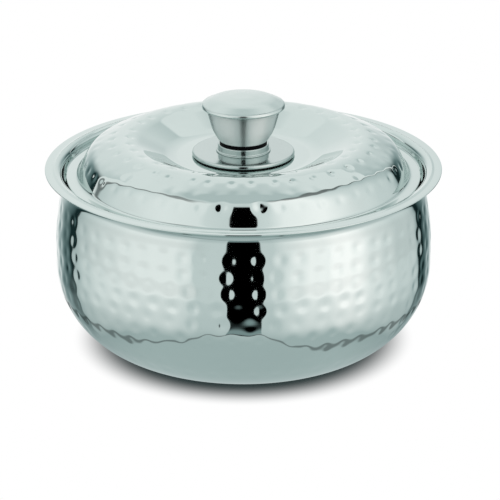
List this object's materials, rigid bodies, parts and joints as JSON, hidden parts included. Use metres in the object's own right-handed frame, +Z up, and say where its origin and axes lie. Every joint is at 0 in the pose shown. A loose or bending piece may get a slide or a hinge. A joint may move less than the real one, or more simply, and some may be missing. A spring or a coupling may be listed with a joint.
{
  "type": "insulated casserole",
  "caption": "Double-walled hammered steel casserole with a wide flange and a recessed lift-off lid whose flared knob stands on a disc.",
  "frame": {"origin": "centre of the bounding box at the foot, on the surface the casserole stands on", "axes": "+Z up along the axis of revolution, X and Y across; the front is towards -Y"},
  "size_m": [0.24, 0.24, 0.1557],
  "materials": {
    "hammered_steel": "mirror-polished stainless steel, hammered",
    "polished_steel": "mirror-polished stainless steel",
    "bowl_steel": "satin stainless steel inside, polished flange",
    "satin_steel": "satin stainless steel",
    "plain_steel": "plain stainless steel, hidden fixing",
    "foam": "rigid polyurethane foam",
    "seal_black": "black silicone rubber",
    "plug_white": "white plastic",
    "insert_plastic": "black plastic"
  },
  "bodies": {
    "casserole": {"outer_shell": "hammered_steel", "inner_bowl": "bowl_steel", "body_insulation": "foam", "base_disc": "polished_steel", "base_fill_plug": "plug_white"},
    "seal": {"lid_seal": "seal_black"},
    "lid": {"lid_outer_shell": "hammered_steel", "lid_inner_pan": "satin_steel", "lid_insulation": "foam", "lid_fill_plug": "plug_white", "knob_backing_gasket": "seal_black", "knob_base_disc": "polished_steel", "knob_neck": "polished_steel", "knob_seam_ring": "insert_plastic", "knob_cone": "satin_steel", "knob_cap": "satin_steel", "knob_core": "plain_steel", "knob_screw": "plain_steel", "knob_load_washer": "plain_steel", "knob_spring_washer": "plain_steel"}
  },
  "joints": [
    {"name": "lid_lift", "type": "slide", "parent": "casserole", "child": "seal", "axis": [0, 0, 1], "range_m": [0, 0.11]},
    {"name": "lid_turn", "type": "hinge", "parent": "seal", "child": "lid", "pos_m": [0, 0, 0.107], "axis": [0, 0, 1], "continuous": true}
  ]
}
